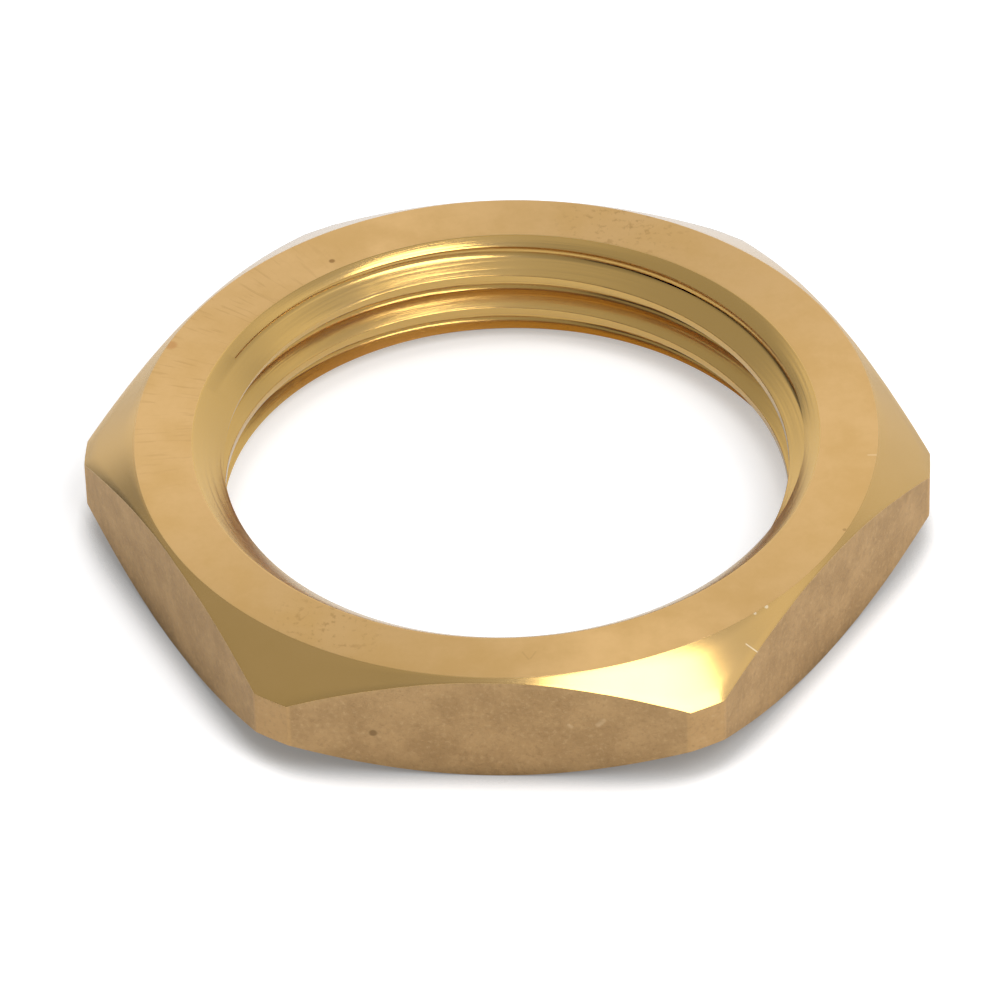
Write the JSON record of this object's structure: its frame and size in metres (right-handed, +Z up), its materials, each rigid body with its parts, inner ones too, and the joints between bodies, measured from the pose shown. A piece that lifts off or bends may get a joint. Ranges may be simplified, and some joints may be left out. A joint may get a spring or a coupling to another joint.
{
  "type": "pipe locknut",
  "caption": "Thin hexagonal brass locknut with turned-down corners, chamfered faces and a countersunk hole with a right-hand parallel pipe thread.",
  "frame": {"origin": "on the thread's axis, at the middle of the lower bearing face", "axes": "+Z up along the thread's axis, from the lower face to the upper face; two of the six flats face -Y and +Y, and corners point along -X and +X"},
  "size_m": [0.0462, 0.041, 0.0068],
  "materials": {
    "brass": "machined satin faces and bright chamfers, matt forged flats"
  },
  "bodies": {
    "root": {"locknut": "brass"}
  },
  "joints": []
}
